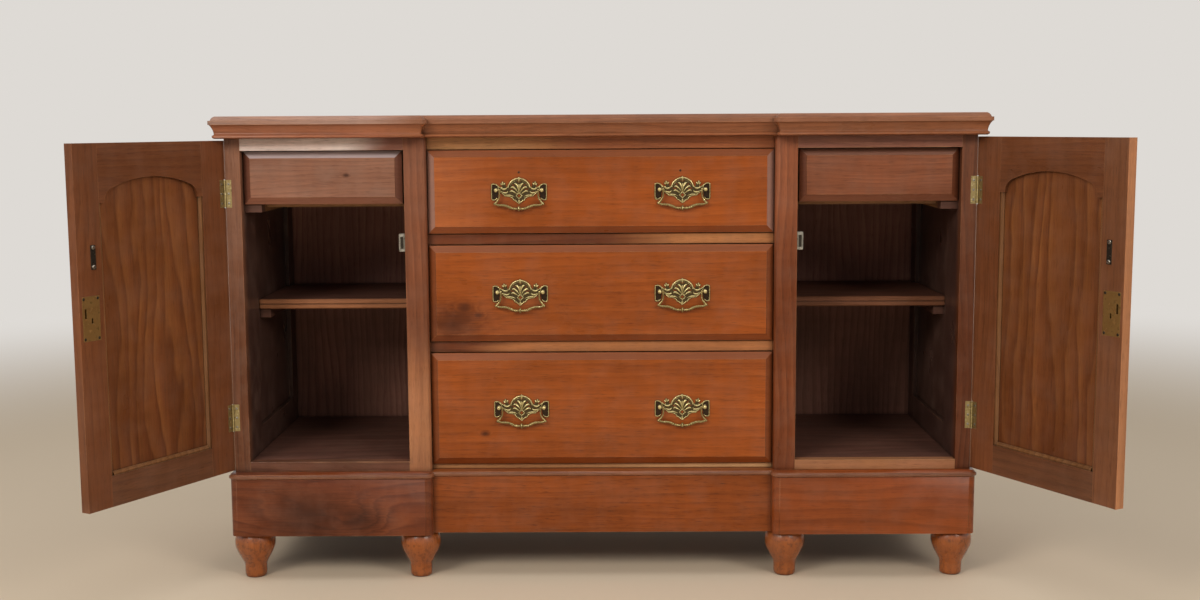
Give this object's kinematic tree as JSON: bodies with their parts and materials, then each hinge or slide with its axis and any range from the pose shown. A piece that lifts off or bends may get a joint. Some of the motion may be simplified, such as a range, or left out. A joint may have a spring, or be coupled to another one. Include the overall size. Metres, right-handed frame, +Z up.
{
  "type": "breakfront chiffonier",
  "caption": "Breakfront cedar chiffonier: hinged cupboard wings with inner drawers and a shelf, graduated bevelled drawers with pierced brass bail handles, moulded plinth, turned feet.",
  "frame": {"origin": "bottom centre of the whole object at rest, on the floor", "axes": "+X to the right of the viewer along the width, +Y to the back, +Z up; the drawers face -Y"},
  "size_m": [1.8084, 0.7764, 0.894],
  "materials": {
    "cedar": "old french polish, worn",
    "cedar_inside": "dark unpolished cedar",
    "cedar_pale": "pale worn cedar strip",
    "brass": "darkened stamped brass",
    "catch": "grey-white moulded"
  },
  "bodies": {
    "carcass": {"top_board": "cedar", "cornice_moulding": "cedar", "side_frame_left": "cedar", "side_frame_right": "cedar", "side_panels": "cedar_inside", "inner_stile_left": "cedar", "inner_stile_right": "cedar", "partitions": "cedar_inside", "wing_rails": "cedar", "centre_top_rail": "cedar", "drawer_rails": "cedar", "cupboard_floors": "cedar_inside", "shelf_left": "cedar_inside", "shelf_right": "cedar_inside", "shelf_bearers": "cedar_inside", "drawer_runners": "cedar_inside", "back_boards": "cedar_inside", "plinth_left": "cedar", "plinth_right": "cedar", "plinth_centre": "cedar", "plinth_back": "cedar_inside", "plinth_bead": "cedar", "foot_blocks": "cedar_inside", "turned_feet": "cedar", "hinge_leaves": "brass", "magnetic_catches": "catch"},
    "door_left": {"door_left_stiles": "cedar", "door_left_rails": "cedar", "door_left_panel": "cedar", "door_left_beads": "cedar_pale", "door_left_hinge_leaves": "brass", "door_left_lock": "brass", "door_left_fittings": "brass"},
    "door_right": {"door_right_stiles": "cedar", "door_right_rails": "cedar", "door_right_panel": "cedar", "door_right_beads": "cedar_pale", "door_right_hinge_leaves": "brass", "door_right_lock": "brass", "door_right_fittings": "brass"},
    "inner_drawer_left": {"inner_drawer_left_front": "cedar", "inner_drawer_left_box": "cedar_inside"},
    "inner_drawer_right": {"inner_drawer_right_front": "cedar", "inner_drawer_right_box": "cedar_inside"},
    "upper_drawer": {"upper_drawer_front": "cedar", "upper_drawer_box": "cedar_inside", "upper_drawer_handle_plates": "brass"},
    "upper_drawer_bail_left": {"upper_drawer_bail_left": "brass"},
    "upper_drawer_bail_right": {"upper_drawer_bail_right": "brass"},
    "middle_drawer": {"middle_drawer_front": "cedar", "middle_drawer_box": "cedar_inside", "middle_drawer_handle_plates": "brass"},
    "middle_drawer_bail_left": {"middle_drawer_bail_left": "brass"},
    "middle_drawer_bail_right": {"middle_drawer_bail_right": "brass"},
    "lower_drawer": {"lower_drawer_front": "cedar", "lower_drawer_box": "cedar_inside", "lower_drawer_handle_plates": "brass"},
    "lower_drawer_bail_left": {"lower_drawer_bail_left": "brass"},
    "lower_drawer_bail_right": {"lower_drawer_bail_right": "brass"}
  },
  "joints": [
    {"name": "door_left_hinge", "type": "hinge", "parent": "carcass", "child": "door_left", "pos_m": [-0.711, -0.07428, 0.5], "axis": [0, 0, -1], "range_deg": [-118.5, 46.5]},
    {"name": "door_right_hinge", "type": "hinge", "parent": "carcass", "child": "door_right", "pos_m": [0.711, -0.07428, 0.5], "axis": [0, 0, 1], "range_deg": [-118.5, 46.5]},
    {"name": "inner_drawer_left_slide", "type": "slide", "parent": "carcass", "child": "inner_drawer_left", "axis": [0, -1, 0], "range_m": [0, 0.28]},
    {"name": "inner_drawer_right_slide", "type": "slide", "parent": "carcass", "child": "inner_drawer_right", "axis": [0, -1, 0], "range_m": [0, 0.28]},
    {"name": "upper_drawer_slide", "type": "slide", "parent": "carcass", "child": "upper_drawer", "axis": [0, -1, 0], "range_m": [0, 0.3]},
    {"name": "upper_drawer_bail_left_swing", "type": "hinge", "parent": "upper_drawer", "child": "upper_drawer_bail_left", "pos_m": [-0.155, -0.07178, 0.7525], "axis": [-1, 0, 0], "range_deg": [0, 85]},
    {"name": "upper_drawer_bail_right_swing", "type": "hinge", "parent": "upper_drawer", "child": "upper_drawer_bail_right", "pos_m": [0.155, -0.07178, 0.7525], "axis": [-1, 0, 0], "range_deg": [0, 85]},
    {"name": "middle_drawer_slide", "type": "slide", "parent": "carcass", "child": "middle_drawer", "axis": [0, -1, 0], "range_m": [0, 0.3]},
    {"name": "middle_drawer_bail_left_swing", "type": "hinge", "parent": "middle_drawer", "child": "middle_drawer_bail_left", "pos_m": [-0.155, -0.07178, 0.558], "axis": [-1, 0, 0], "range_deg": [0, 85]},
    {"name": "middle_drawer_bail_right_swing", "type": "hinge", "parent": "middle_drawer", "child": "middle_drawer_bail_right", "pos_m": [0.155, -0.07178, 0.558], "axis": [-1, 0, 0], "range_deg": [0, 85]},
    {"name": "lower_drawer_slide", "type": "slide", "parent": "carcass", "child": "lower_drawer", "axis": [0, -1, 0], "range_m": [0, 0.3]},
    {"name": "lower_drawer_bail_left_swing", "type": "hinge", "parent": "lower_drawer", "child": "lower_drawer_bail_left", "pos_m": [-0.155, -0.07178, 0.33375], "axis": [-1, 0, 0], "range_deg": [0, 85]},
    {"name": "lower_drawer_bail_right_swing", "type": "hinge", "parent": "lower_drawer", "child": "lower_drawer_bail_right", "pos_m": [0.155, -0.07178, 0.33375], "axis": [-1, 0, 0], "range_deg": [0, 85]}
  ]
}
